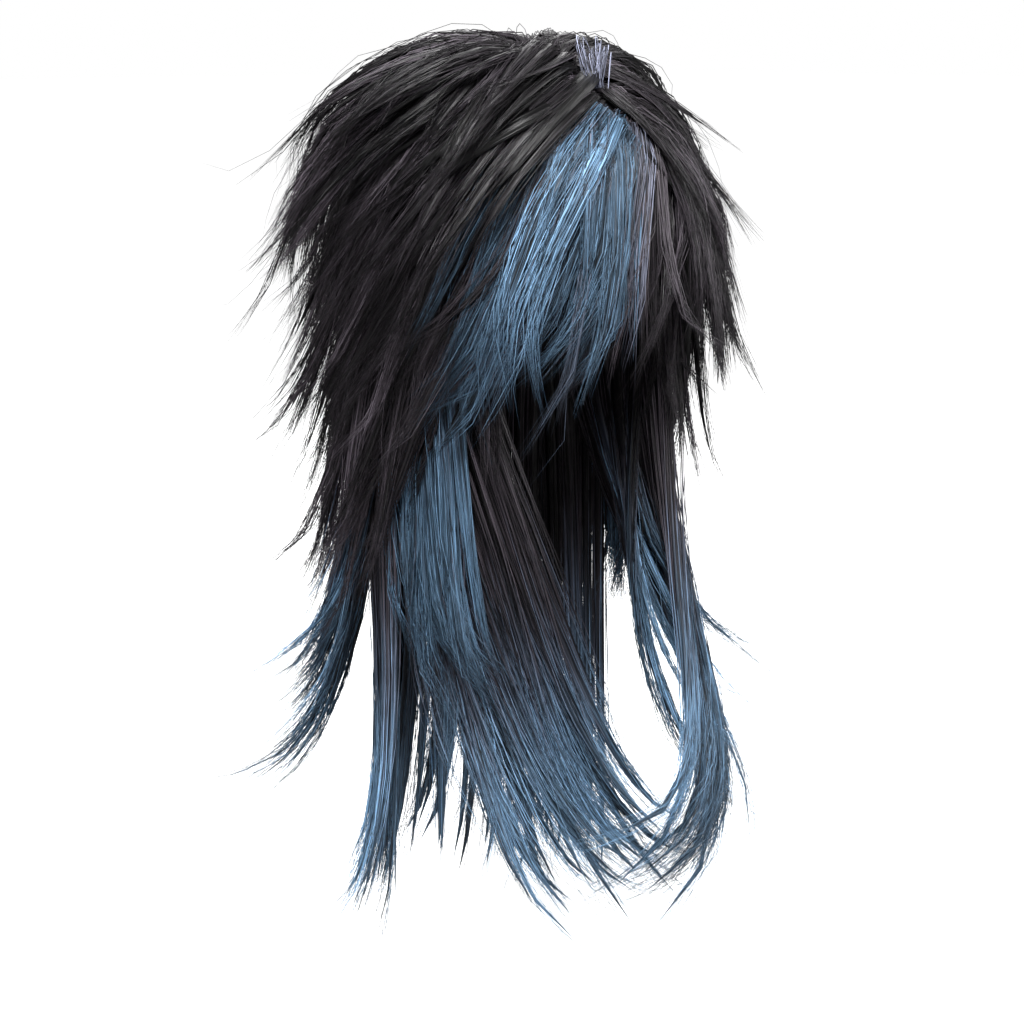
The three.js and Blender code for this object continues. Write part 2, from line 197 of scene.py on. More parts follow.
class Batch:
    def __init__(self):
        self.points, self.quads, self.tris = [], [], []
        self.quadFlow, self.triFlow, self.notes = [], [], []
        self.size = 0
        self.triangles = 0

    # Closed tubes along lines [many, steps, 3], whose sections have so many sides, across by out
    def tubes(self, lines, across, out, wideAt, deepAt, sides, ridge, noteAt, flowAt):
        many, steps = lines.shape[:2]
        angles = np.arange(sides) * 2 * np.pi / sides
        rim = 1 - ridge * (np.arange(sides) % 2)
        x = (np.cos(angles) * rim)[:, None]
        y = (np.sin(angles) * rim)[:, None]
        ring = (lines[:, :, None] + across[:, :, None] * wideAt[:, :, None, None] * x
                + out[:, :, None] * deepAt[:, :, None, None] * y)
        index = np.arange(many * steps * sides).reshape(many, steps, sides) + self.size
        after = np.roll(index, -1, axis=2)
        quads = np.stack([index[:, :-1], index[:, 1:], after[:, 1:], after[:, :-1]], axis=-1)
        fans = [index[:, 0, [0, k, k + 1]] for k in range(1, sides - 1)]
        fans += [index[:, -1, [0, k + 1, k]] for k in range(1, sides - 1)]
        # the flow map: metres along the hair, and metres round the section past the tube's own start
        run = np.concatenate([np.zeros((many, 1)), np.cumsum(
            np.linalg.norm(np.diff(lines, axis=1), axis=2), axis=1)], axis=1)[:, :, None]
        girth = (2 * np.pi * wideAt.mean(axis=1) / sides)[:, None, None]
        column = np.arange(sides)[None, None, :]
        u = run + np.zeros((1, 1, sides))
        v = flowAt[:, None, None] + column * girth + np.zeros((1, steps, 1))
        w = v + girth
        flow = np.stack([np.stack([u[:, :-1], v[:, :-1]], -1), np.stack([u[:, 1:], v[:, 1:]], -1),
                         np.stack([u[:, 1:], w[:, 1:]], -1), np.stack([u[:, :-1], w[:, :-1]], -1)], axis=-2)
        fan = np.concatenate(fans)
        self.points.append(ring.reshape(-1, 3))
        self.quads.append(quads.reshape(-1, 4))
        self.quadFlow.append(flow.reshape(-1, 2))
        self.tris.append(fan)
        self.triFlow.append(np.zeros((len(fan) * 3, 2)))
        self.notes.append(np.repeat(noteAt.reshape(-1, 3), sides, axis=0))
        self.size += many * steps * sides
        self.triangles += 2 * quads.reshape(-1, 4).shape[0] + len(fan)

    def mesh(self, name, material):
        points = np.concatenate(self.points)
        low, high = np.array(cadBox[0]), np.array(cadBox[1])
        spare = style["spare"]
        points = np.where(points > high, high + spare * np.tanh((points - high) / spare), points)
        points = np.where(points < low, low - spare * np.tanh((low - points) / spare), points)
        quads, tris = np.concatenate(self.quads), np.concatenate(self.tris)
        corners = np.concatenate([quads.ravel(), tris.ravel()]).astype(np.int32)
        starts = np.concatenate([np.arange(len(quads)) * 4, len(quads) * 4 + np.arange(len(tris)) * 3])
        mesh = bpy.data.meshes.new(name)
        mesh.vertices.add(len(points))
        mesh.vertices.foreach_set("co", points.astype(np.float32).ravel())
        mesh.loops.add(len(corners))
        mesh.loops.foreach_set("vertex_index", corners)
        mesh.polygons.add(len(starts))
        mesh.polygons.foreach_set("loop_start", starts.astype(np.int32))
        mesh.polygons.foreach_set("use_smooth", np.ones(len(starts), dtype=bool))
        flow = mesh.uv_layers.new(name="flow")
        uv = np.concatenate(self.quadFlow + self.triFlow).astype(np.float32)
        flow.uv.foreach_set("vector", uv.ravel())
        note = mesh.color_attributes.new("strand", "FLOAT_COLOR", "POINT")
        values = np.ones((len(points), 4), dtype=np.float32)
        values[:, :3] = np.concatenate(self.notes)
        note.data.foreach_set("color", values.ravel())
        mesh.update(calc_edges=True)
        mesh.validate()
        piece = bpy.data.objects.new(name, mesh)
        bpy.context.collection.objects.link(piece)
        mesh.materials.append(material)
        return piece


# A lock is split into strips side by side. Each strip is a ridged core with loose strands over it.
strips = {
    "edge": 0.88, "uneven": 0.9, "reach": 1.04, "taperPower": 1.5, "boldShare": 0.25, "bold": 1.8,
    "meek": 0.8, "outwards": 0.25, "waves": (0.3, 1), "turns": (0.5, 1.3), "overlap": 1.45,
    "widths": (0.7, 1.3), "tailStart": 0.45, "tailSpan": 0.55, "tailMost": 1.2, "narrow": 0.3,
    "spread": 0.7, "arched": 0.4, "root": 0.2, "swell": 0.8, "swellEnd": 0.28, "tipPower": 0.8,
}


def splitLock(rng, guide, row):
    many = row["strips"]
    edge = strips["edge"]
    w = np.linspace(-edge, edge, many) + rng.uniform(-0.5, 0.5, many) * strips["uneven"] / many
    end = strips["reach"] - row["taper"] * np.abs(w) ** strips["taperPower"]
    end = end - row["ragged"] * rng.random(many)
    depth = rng.uniform(-1, 1, many) * row["depth"]
    drift = rng.normal(0, 1, many) * row["drift"]
    bendSide = rng.normal(0, 1, many) * row["bend"]
    bendSide = bendSide * np.where(rng.random(many) < strips["boldShare"], strips["bold"], strips["meek"])
    return {
        "w": w, "end": end, "depth": depth, "drift": drift, "bendSide": bendSide,
        "bendOut": rng.normal(strips["outwards"], 1, many) * row["bend"],
        "wave": rng.uniform(*strips["waves"], many) * row["wave"],
        "phase": rng.uniform(0, 2 * np.pi, many),
        "turns": rng.uniform(*strips["turns"], many),
        "glow": rng.random(many),
        "dyed": rng.random(many),
        "half": guide["halfWidth"] * strips["overlap"] / many * rng.uniform(*strips["widths"], many),
    }


def alongStrip(guide, strip, t):
    shape = (-1,) + (1,) * (t.ndim - 1)
    get = lambda key: strip[key].reshape(shape)
    point, tangent, side, out = alongLock(guide, t)
    full = fullness(t)
    s = t / get("end")
    tail = np.clip((s - strips["tailStart"]) / strips["tailSpan"], 0, strips["tailMost"]) ** 2
    x = get("w") * guide["halfWidth"] * (strips["narrow"] + strips["spread"] * full)
    x = x + get("wave") * np.sin(2 * np.pi * get("turns") * s + get("phase")) * s + get("bendSide") * tail
    x = x + get("drift") * s
    y = guide["thickness"] * full * strips["arched"] * (1 - get("w") ** 2)
    y = y + get("depth") * full + get("bendOut") * tail
    return point + side * x[..., None] + out * y[..., None], side, out


def stripProfile(s, late):
    swell = strips["root"] + strips["swell"] * np.sin(np.pi / 2 * np.clip(s / strips["swellEnd"], 0, 1))
    return swell * np.clip(1 - np.clip(s, 0, 1) ** late, 0, 1) ** strips["tipPower"]


def ringsFor(length, each, extra, fewest, most):
    return int(np.clip(round(length / each) + extra, fewest, most))


# How blue a strand is along its length, from the row's dye. It goes by strips, and a few strands differ.
dyeing = {"odd": 0.16, "uneven": 0.05, "onCores": 0.9}


def dyeAlong(rng, dye, dyed, t):
    share, start, full, others = dye
    odd = rng.random(len(dyed)) < dyeing["odd"]
    taken = np.where(np.where(odd, rng.random(len(dyed)), dyed) < share, 1, others)[:, None]
    return taken * smooth(start, full, t + rng.normal(0, dyeing["uneven"], (len(dyed), 1)))


# A core's glow is a base, its strip's share and its own. It stays far below the strands' glow, so the
# cores are painted shade in the gaps between strands.
cores = {"tip": 0.012, "flat": 0.42, "ridge": 0.12, "base": 0.02, "byStrip": 0.15, "own": 0.06}


def growCores(batch, rng, guide, strip, row, dye):
    many = row["strips"]
    steps = ringsFor(guide["length"], **fineness["core"])
    s = np.linspace(0, 1, steps)[None, :]
    t = s * strip["end"][:, None] * row["coreEnd"]
    line, side, out = alongStrip(guide, strip, t)
    wide = strip["half"][:, None] * (stripProfile(s, row["late"]) + cores["tip"]) * row["core"]
    # painted shade: the core is much darker than its strands, for the shade in the gaps between them
    glow = (cores["base"] + cores["byStrip"] * strip["glow"] + cores["own"] * rng.random(many))[:, None]
    glow = np.repeat(row["shade"] * glow, steps, axis=1)
    note = np.stack([t, glow, dyeAlong(rng, dye, strip["dyed"], t) * dyeing["onCores"]], axis=-1)
    batch.tubes(line, side, out, wide, wide * cores["flat"], row["sides"], cores["ridge"], note,
                rng.uniform(0, flowSpan, many))


# Strands lie round the cores, from a little under them on each side. The loose ones are thinner and longer
# and stray further.
strands = {
    "under": 0.4, "reach": (0.75, 1.25), "longest": 1.05, "looseLonger": 0.06, "off": 0.03, "flat": 0.46,
    "sway": (0.0006, 0.0022), "looseSway": 0.004, "swayPower": 0.7, "waves": (0.6, 2.0), "outwards": 0.15,
    "looseSplay": 0.010, "splayStart": 0.55, "splaySpan": 0.45, "splayMost": 1.3,
    "radius": 0.00034, "looseThinner": 0.4, "radii": (0.75, 1.25), "point": 0.88,
    "byStrip": 0.62, "stripPower": 1.8, "own": 0.4, "ownPower": 1.3,
}


def growStrands(batch, rng, guide, strip, row, dye, count, steps, stray):
    many = row["strips"]
    each = (many, count, 1)
    angle = mix(-strands["under"], np.pi + strands["under"], rng.random(each))
    angle = np.where(rng.random(each) < row["inner"], -angle, angle)
    reach = rng.uniform(*strands["reach"], each)
    length = rng.uniform(row["shortest"], strands["longest"], each)
    length = length + stray * rng.uniform(0, strands["looseLonger"], each)
    s = np.linspace(0, 1, steps)[None, None, :] ** row["spacing"] * length
    t = s * strip["end"][:, None, None]
    line, side, out = alongStrip(guide, strip, t)
    close = stripProfile(s, row["late"]) + strands["off"]
    half = strip["half"][:, None, None]
    sway = mix(*strands["sway"], rng.random(each)) + stray * strands["looseSway"]
    sway = sway * np.clip(s, 0, 2) ** strands["swayPower"]
    wave = 2 * np.pi * rng.uniform(*strands["waves"], each) * s + rng.uniform(0, 2 * np.pi, each)
    ends = np.clip((s - strands["splayStart"]) / strands["splaySpan"], 0, strands["splayMost"]) ** 2
    splay = (row["splay"] + stray * strands["looseSplay"]) * ends
    arch = stray * rng.uniform(0, row["arch"], each) * np.sin(np.pi * np.clip(s, 0, 1))
    x = half * reach * np.cos(angle) * close + sway * np.sin(wave) + rng.normal(0, 1, each) * splay
    y = half * strands["flat"] * reach * np.sin(angle) * close + sway * np.cos(wave)
    y = y + rng.normal(strands["outwards"], 1, each) * splay
    line = line + side * x[..., None] + out * (y + arch)[..., None]
    thick = strands["radius"] * (1 - strands["looseThinner"] * stray) * rng.uniform(*strands["radii"], each)
    radius = thick * (1 - strands["point"] * np.clip(s / length, 0, 1) ** 3)
    flat = lambda v: v.reshape((many * count,) + v.shape[2:])
    lines = flat(line)
    tangents = unit(np.gradient(lines, axis=1))
    across = unit(np.cross(tangents, flat(out)))
    # the strip's and the strand's own random tone, times the row's shade, which paints light and shade
    glow = strands["byStrip"] * strip["glow"][:, None] ** strands["stripPower"]
    glow = row["shade"] * (glow + strands["own"] * rng.random((many, count)) ** strands["ownPower"])
    note = np.stack([flat(t), np.repeat(glow.reshape(-1, 1), steps, axis=1),
                     dyeAlong(rng, dye, np.repeat(strip["dyed"], count), flat(t))], axis=-1)
    batch.tubes(lines, across, np.cross(across, tangents), flat(radius), flat(radius),
                fineness["strandSides"], 0, note, rng.uniform(0, flowSpan, many * count))


def growRow(batch, rng, changes):
    row = {**usualRow, **changes}
    for i in range(row["count"]):
        guide = lockGuide(row, i)
        strip = splitLock(rng, guide, row)
        if i == 0:
            strip["dyed"][:row["plain"]] = 1  # these take no more dye than the rest
        dye = row["dyes"][i] if "dyes" in row else row["dye"]
        if row["core"] > 0:
            growCores(batch, rng, guide, strip, row, dye)
        if row["strands"]:
            steps = ringsFor(guide["length"], **fineness["strand"])
            growStrands(batch, rng, guide, strip, row, dye, row["strands"], steps, 0)
            loose = max(1, round(row["strands"] * row["loose"]))
            growStrands(batch, rng, guide, strip, row, dye, loose, steps + fineness["looseExtra"], 1)


# Hair material: the dye runs from charcoal to blue, and fine streaks vary colour, gloss and relief

def link(tree, a, b):
    tree.links.new(a, b)


def times(tree, first, second):
    node = tree.nodes.new("ShaderNodeMath")
    node.operation = "MULTIPLY"
    link(tree, first, node.inputs[0])
    if isinstance(second, float):
        node.inputs[1].default_value = second
    else:
        link(tree, second, node.inputs[1])
    return node.outputs[0]


def mapRange(tree, source, seen, made):
    node = tree.nodes.new("ShaderNodeMapRange")
    node.inputs["From Min"].default_value, node.inputs["From Max"].default_value = seen
    node.inputs["To Min"].default_value, node.inputs["To Max"].default_value = made
    link(tree, source, node.inputs["Value"])
    return node.outputs["Result"]


# Each noise is stretched along the flow map: its shares of the two scales, and its detail
streakNoises = {"Fine": (1.0, 1.0, 3.0), "Broad": (0.6, 0.3, 2.0)}


def streakGroup():
    tree = bpy.data.node_groups.new("fineStreaks", "ShaderNodeTree")
    face = tree.interface
    face.new_socket("Along", in_out="INPUT", socket_type="NodeSocketFloat").default_value = 12
    face.new_socket("Across", in_out="INPUT", socket_type="NodeSocketFloat").default_value = 620
    face.new_socket("Fine", in_out="OUTPUT", socket_type="NodeSocketFloat")
    face.new_socket("Broad", in_out="OUTPUT", socket_type="NodeSocketFloat")
    nodes = tree.nodes
    inside, outside = nodes.new("NodeGroupInput"), nodes.new("NodeGroupOutput")
    uv = nodes.new("ShaderNodeUVMap")
    uv.uv_map = "flow"
    split = nodes.new("ShaderNodeSeparateXYZ")
    link(tree, uv.outputs["UV"], split.inputs[0])
    for name, (shareAlong, shareAcross, detail) in streakNoises.items():
        join = nodes.new("ShaderNodeCombineXYZ")
        for axis, key, share in ((0, "Along", shareAlong), (1, "Across", shareAcross)):
            scale = times(tree, inside.outputs[key], share)
            link(tree, times(tree, split.outputs[axis], scale), join.inputs[axis])
        noise = nodes.new("ShaderNodeTexNoise")
        noise.noise_dimensions = "2D"
        noise.inputs["Scale"].default_value = 1
        noise.inputs["Detail"].default_value = detail
        link(tree, join.outputs[0], noise.inputs["Vector"])
        link(tree, noise.outputs["Fac"], outside.inputs[name])
    return tree


streaks = streakGroup()


# Alike on all the hair: which part of each noise counts and how much light it makes, where the painted shade
# at the root ends, where the middle colour lies, how roughness varies and how deep the streaks are
streakLook = {
    "fineSeen": (0.35, 0.65), "fineLight": (0.12, 1.8), "broadSeen": (0.3, 0.7), "broadLight": (0.7, 1.25),
    "rootShadeEnd": 0.3, "middleAt": 0.45, "smoother": 0.08, "rougher": 0.12, "depth": 0.0009,
}


def hairMaterial(name, look):
    material = bpy.data.materials.new(name)
    material.use_nodes = True
    tree = material.node_tree
    nodes = tree.nodes
    shader = nodes["Principled BSDF"]
    data = nodes.new("ShaderNodeAttribute")
    data.attribute_name = "strand"
    split = nodes.new("ShaderNodeSeparateColor")  # red: along the lock, green: glow with painted light and shade, blue: dye
    link(tree, data.outputs["Color"], split.inputs[0])
    group = nodes.new("ShaderNodeGroup")
    group.node_tree = streaks
    group.inputs["Along"].default_value = look["along"]
    group.inputs["Across"].default_value = look["across"]

    dye = nodes.new("ShaderNodeValToRGB")
    dye.color_ramp.elements[0].color = (*look["dark"], 1)
    dye.color_ramp.elements[1].color = (*look["blue"], 1)
    between = dye.color_ramp.elements.new(streakLook["middleAt"])
    between.color = (*look["between"], 1)
    link(tree, split.outputs["Blue"], dye.inputs["Fac"])

    # each strand's own brightness with its painted light and shade, the streaks, and painted shade at the
    # root
    light = mapRange(tree, split.outputs["Green"], (0, 1), (look["dimmest"], look["brightest"]))
    fine = mapRange(tree, group.outputs["Fine"], streakLook["fineSeen"], streakLook["fineLight"])
    broad = mapRange(tree, group.outputs["Broad"], streakLook["broadSeen"], streakLook["broadLight"])
    root = mapRange(tree, split.outputs["Red"], (0, streakLook["rootShadeEnd"]), (look["root"], 1))
    for more in (fine, broad, root):
        light = times(tree, light, more)
    colour = nodes.new("ShaderNodeVectorMath")
    colour.operation = "SCALE"
    link(tree, dye.outputs["Color"], colour.inputs[0])
    link(tree, light, colour.inputs["Scale"])
    link(tree, colour.outputs[0], shader.inputs["Base Color"])

    rough = (look["rough"] - streakLook["smoother"], look["rough"] + streakLook["rougher"])
    link(tree, mapRange(tree, group.outputs["Fine"], (0, 1), rough), shader.inputs["Roughness"])
    bump = nodes.new("ShaderNodeBump")
    bump.inputs["Strength"].default_value = look["relief"]
    bump.inputs["Distance"].default_value = streakLook["depth"]
    link(tree, group.outputs["Fine"], bump.inputs["Height"])
    link(tree, bump.outputs["Normal"], shader.inputs["Normal"])
    shader.inputs["Specular IOR Level"].default_value = look["gloss"]
    return material


# Root is how dark the painted shade makes the hair at its roots. Dimmest and brightest span the glow, and the
# low end keeps the cores and under locks dark as painted shade.
hairLook = {
    "along": 12, "across": 620, "dark": (0.021, 0.0178, 0.0215), "between": (0.086, 0.092, 0.124),
    "blue": (0.077, 0.136, 0.207), "dimmest": 0.05, "brightest": 4.4, "root": 0.7,
    "rough": 0.38, "relief": 1, "gloss": 0.32,
}
charcoalHair = hairMaterial("charcoalHair", {**hairLook, "gloss": 0.4, "brightest": 5.2})
blueHair = hairMaterial("blueHair", {**hairLook, "rough": 0.42, "brightest": 2.7, "root": 0.4})
slateHair = hairMaterial("slateHair", {**hairLook, "rough": 0.4, "brightest": 5.6,
                                       "between": (0.045, 0.06, 0.088)})
print("materials made")


# Fuller, shorter locks under a row, which close the gaps between its own. Their shade of 0.1 paints them
# nearly black, as painted shade under the row above.
underRow = {"lift": 0.5, "drop": 0.9, "wide": 1.25, "seeds": 40}
underLock = {"strips": 6, "strands": 0, "sides": 6, "core": 0.9, "bend": 0.005, "shade": 0.1}


def under(row, stand=0.72, **changes):
    shares = {"stand": tuple(stand * v for v in row["stand"]),
              "lift": tuple(underRow["lift"] * v for v in row["lift"]),
              "drop": tuple(underRow["drop"] * v for v in row["drop"]),
              "wide": row["wide"] * underRow["wide"]}
    return {**row, **shares, **underLock, "seed": row["seed"] + underRow["seeds"], **changes}


def hairPiece(node, material, rows, seed, part="hair"):
    rng = np.random.default_rng(seed)
    batch = Batch()
    for row in rows:
        growRow(batch, rng, row)
    piece = batch.mesh(node + "_" + part, material)
    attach(piece, "root")
    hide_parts(node)
    print(node, batch.triangles, "triangles")
    return batch.triangles


total = 0

# The crown rows are darker than the swept locks over them: their low shade is painted shade between those
# locks.
crownRows = [
    {"count": 6, "ring": 12, "turns": (34, 270), "tips": (76, 258), "drop": (0.14, 0.12), "uneven": 0.04,
     "stand": (0.8, 0.92), "lift": (0.45, 0.85), "bulge": 1, "turned": 0.6, "low": 0.4, "flick": 0.7,
     "curl": 0.3, "wide": 1.3, "thick": 1.15, "seed": 1, "strips": 7, "strands": 13, "shade": 0.42},
    {"count": 9, "ring": 26, "turns": (20, 276), "tips": (88, 264), "drop": (0.26, 0.24), "uneven": 0.05,
     "stand": (0.88, 1.02), "lift": (0.42, 0.75), "bulge": 1.02, "turned": 0.72, "low": 0.42, "flick": 0.6,
     "curl": 0.3, "wide": 1.6, "thick": 1.2, "seed": 2, "strips": 8, "strands": 14, "shade": 0.42},
    {"count": 4, "ring": 26, "turns": (-16, -66), "tips": (-42, -84), "drop": (0.2, 0.27), "uneven": 0.03,
     "stand": (0.56, 0.7), "lift": (0.2, 0.3), "bulge": 0.9, "turned": 0.6, "low": 0.5, "flick": 0.15,
     "curl": 0.2, "wide": 1.3, "thick": 0.9, "seed": 16, "strips": 5, "strands": 28,
     "bend": 0.005, "coreEnd": 0.8},
]
partRows = [
    {"count": 5, "ring": 14, "ringTo": 34, "turns": (8, 5), "tips": (120, 92), "drop": (0.17, 0.24),
     "uneven": 0.02, "stand": (0.75, 0.88), "lift": (0.42, 0.45), "bulge": 1.05, "turned": 0.75, "low": 0.36,
     "flick": 0.4, "curl": 0.4, "wide": 0.6, "thick": 0.8, "seed": 31, "strips": 4,
     "strands": 25, "core": 0},
    {"count": 6, "ring": 12, "ringTo": 40, "turns": (-10, -5), "tips": (-88, -46), "drop": (0.16, 0.24),
     "uneven": 0.02, "stand": (0.44, 0.54), "lift": (0.24, 0.3), "bulge": 1.15, "turned": 0.9, "low": 0.32,
     "flick": 0.1, "curl": 0.2, "wide": 0.6, "thick": 0.8, "seed": 32, "strips": 4,
     "strands": 24, "core": 0},
    {"count": 7, "ring": 5, "turns": (20, 260), "tips": (70, 240), "drop": (0.07, 0.06), "uneven": 0.01,
     "stand": (0.5, 0.62), "lift": (0.5, 0.62), "bulge": 1.1, "turned": 0.5, "low": 0.3, "flick": 0.8,
     "curl": 0.3, "reach": 0.4, "wide": 1, "thick": 0.9, "seed": 33, "strips": 5, "strands": 12},
    {"count": 3, "ring": 6, "turns": (-80, -20), "tips": (-90, -40), "drop": (0.09, 0.1), "uneven": 0.01,
     "stand": (0.2, 0.3), "lift": (0.22, 0.25), "bulge": 1, "turned": 0.5, "low": 0.4, "flick": 0.5,
     "curl": 0.3, "reach": 0.4, "wide": 1, "thick": 0.7, "seed": 34, "strips": 5, "strands": 12},
]

# distinct locks swept back over the rest, painted lighter than what is under them: their high shade is
# painted light
sweptLock = {
    "uneven": 0.035, "stand": (0.86, 1), "lift": (0.55, 0.8), "bulge": 1.06, "turned": 0.66, "low": 0.36,
    "flick": 0.85, "curl": 0.35, "wide": 0.62, "thick": 0.8, "strips": 3, "strands": 27,
    "bend": 0.01, "wave": 0.014, "scatter": 4, "shade": 2.1, "loose": 0.06, "arch": 0.012,
    "core": 0.5, "coreEnd": 0.84, "depth": 0.003, "shortest": 0.84,
}
sweptRows = [
    {**sweptLock, "count": 9, "ring": 12, "ringTo": 36, "turns": (12, 7), "tips": (142, 94),
     "drop": (0.16, 0.36), "turned": 0.88, "low": 0.32, "seed": 51},
    {**sweptLock, "count": 7, "ring": 14, "ringTo": 34, "turns": (40, 120), "tips": (112, 160),
     "drop": (0.26, 0.2), "seed": 52},
    {**sweptLock, "count": 4, "ring": 12, "ringTo": 38, "turns": (-10, -7), "tips": (-118, -66),
     "drop": (0.16, 0.28), "stand": (0.44, 0.56), "lift": (0.28, 0.4), "turned": 0.92, "low": 0.3,
     "bulge": 1.2, "flick": 0.1, "scatter": 3, "bend": 0.006, "arch": 0.008, "seed": 53},
    {**sweptLock, "count": 6, "ring": 14, "ringTo": 34, "turns": (-50, -130), "tips": (-112, -165),
     "drop": (0.26, 0.2), "flick": 0.5, "stand": (0.7, 0.86), "seed": 54},
    {**sweptLock, "count": 3, "ring": 18, "turns": (150, 210), "tips": (150, 210), "drop": (0.24, 0.24),
     "seed": 55},
]
total += hairPiece("crown_locks", charcoalHair, partRows + crownRows[::2], 11, "hairTop")
total += hairPiece("crown_locks", charcoalHair,
                   [crownRows[1], under(crownRows[0], lift=(0.2, 0.4)),
                    under(crownRows[1], lift=(0.15, 0.4), count=8, turns=(54, 276), tips=(116, 264)),
                    under(crownRows[2], stand=0.3, lift=(0.06, 0.06))], 23, "hairSides")
total += hairPiece("crown_locks", charcoalHair, sweptRows, 24, "hairSwept")

blueFringeRows = [
    {"count": 5, "ring": 42, "turns": (4, 34), "tips": (38, 92), "drop": (0.3, 0.35), "uneven": 0.015,
     "stand": (0.24, 0.44), "lift": (0.4, 0.45), "bulge": 2, "turned": 0.48, "low": 0.48, "flick": 0.1,
     "curl": 2, "wide": 0.95, "thick": 0.9, "seed": 3, "strips": 6, "strands": 40,
     "late": 3, "wave": 0.008, "plain": 2,
     "dyes": [(0.85, 0, 0.18, 0.45), (0.75, 0, 0.2, 0.6), (0.55, 0, 0.3, 0.6), (0.85, 0, 0.2, 0.5),
              (0.2, 0, 0.15, 0.1)]},
]
blueStreakRows = [
    {"count": 4, "ring": 36, "ringTo": 44, "turns": (9, 5), "tips": (73, 46), "drop": (0.36, 0.31),
     "uneven": 0.01, "stand": (0.52, 0.62), "lift": (0.46, 0.5), "bulge": 1.25, "turned": 0.88, "low": 0.42,
     "flick": 0.1, "curl": -0.2, "wide": 0.6, "thick": 0.7, "seed": 61, "strips": 3,
     "strands": 40, "bend": 0.006, "shade": 1.1, "late": 3, "dye": (0.85, 0, 0.08, 0.5)},
]
total += hairPiece("blue_fringe_locks", blueHair, blueFringeRows + blueStreakRows, 12)

darkFringeRows = [
    {"count": 3, "ring": 42, "turns": (-5, -24), "tips": (18, -18), "drop": (0.28, 0.28), "uneven": 0.01,
     "stand": (0.1, 0.2), "lift": (0.3, 0.3), "bulge": 2.2, "turned": 0.4, "low": 0.48, "flick": 0,
     "curl": 0.25, "wide": 0.8, "thick": 0.6, "seed": 4, "strips": 6, "strands": 26,
     "core": 0.35},
    {"count": 3, "ring": 42, "turns": (-32, -58), "tips": (-30, -68), "drop": (0.29, 0.34), "uneven": 0.02,
     "stand": (0.48, 0.6), "lift": (0.22, 0.22), "bulge": 1.3, "turned": 0.5, "low": 0.5, "flick": 0.05,
     "curl": 0.2, "wide": 1.2, "thick": 0.8, "seed": 5, "strips": 5, "strands": 40,
     "bend": 0.005, "coreEnd": 0.8},
]
total += hairPiece("dark_fringe_locks", charcoalHair, darkFringeRows, 13)

# The layer's own row is darker than its swept locks: its low shade is painted shade under those locks.
upperRows = [
    {"count": 9, "ring": 51, "turns": (48, 304), "tips": (86, 284), "drop": (0.37, 0.37), "uneven": 0.05,
     "stand": (0.92, 1.14), "lift": (0.4, 0.46), "bulge": 0.6, "turned": 0.6, "low": 0.5, "flick": 1,
     "curl": 0.3, "wide": 1.5, "thick": 1.1, "seed": 6, "strips": 5, "strands": 19, "shade": 0.5},
]
upperSweptRows = [
    {**sweptLock, "count": 8, "ring": 50, "turns": (44, 156), "tips": (84, 168), "drop": (0.4, 0.34),
     "lift": (0.4, 0.46), "bulge": 0.66, "low": 0.5, "flick": 1.2, "seed": 56, "arch": 0.008},
    {**sweptLock, "count": 6, "ring": 50, "turns": (-64, -176), "tips": (-84, -178), "drop": (0.38, 0.36),
     "lift": (0.4, 0.46), "bulge": 0.66, "low": 0.5, "flick": 1.2, "seed": 57, "arch": 0.008},
]
total += hairPiece("upper_layer_locks", charcoalHair,
                   upperRows + upperSweptRows + [under(upperRows[0])], 14)

earRightRows = [
    {"count": 2, "ring": 87, "turns": (71, 79), "tips": (56, 66), "drop": (0.42, 0.42), "uneven": 0.02,
     "stand": (-0.15, 0), "lift": (0.1, 0.1), "bulge": 0.5, "turned": 0.5, "low": 0.5, "flick": 0.1,
     "curl": -0.4, "wide": 0.5, "thick": 0.5, "seed": 7, "strips": 4, "strands": 26},
]
total += hairPiece("ear_locks_right", charcoalHair, earRightRows, 15)

earLeftRows = [
    {"count": 2, "ring": 87, "turns": (-71, -79), "tips": (-36, -54), "drop": (0.4, 0.38), "uneven": 0.02,
     "stand": (-0.05, 0.1), "lift": (0.1, 0.1), "bulge": 1, "turned": 0.5, "low": 0.5, "flick": 0.1,
     "curl": -0.3, "wide": 0.5, "thick": 0.5, "seed": 8, "strips": 4, "strands": 26},
]
total += hairPiece("ear_locks_left", charcoalHair, earLeftRows, 16)

# The layer's own row is darker than its swept locks: its low shade is painted shade under those locks.
middleRows = [
    {"count": 8, "ring": 67, "turns": (72, 288), "tips": (106, 264), "drop": (0.46, 0.52), "uneven": 0.07,
     "stand": (0.8, 1.05), "lift": (0.36, 0.36), "bulge": 0.5, "turned": 0.55, "low": 0.5, "flick": 0.9,
     "curl": 0.2, "wide": 1.45, "thick": 1.1, "seed": 9, "strips": 5, "strands": 17, "shade": 0.5},
]
middleSweptRows = [
    {**sweptLock, "count": 8, "ring": 66, "turns": (74, 160), "tips": (104, 170), "drop": (0.56, 0.6),
     "stand": (0.82, 1.05), "lift": (0.36, 0.36), "bulge": 0.55, "low": 0.5, "flick": 1.3, "seed": 58,
     "taper": 0.1, "arch": 0.008},
    {**sweptLock, "count": 6, "ring": 66, "turns": (-74, -170), "tips": (-88, -176), "drop": (0.54, 0.46),
     "stand": (0.82, 1.05), "lift": (0.36, 0.36), "bulge": 0.55, "low": 0.5, "flick": 1.3, "seed": 59,
     "arch": 0.008},
]
total += hairPiece("middle_layer_locks", charcoalHair,
                   middleRows + middleSweptRows + [under(middleRows[0])], 17)

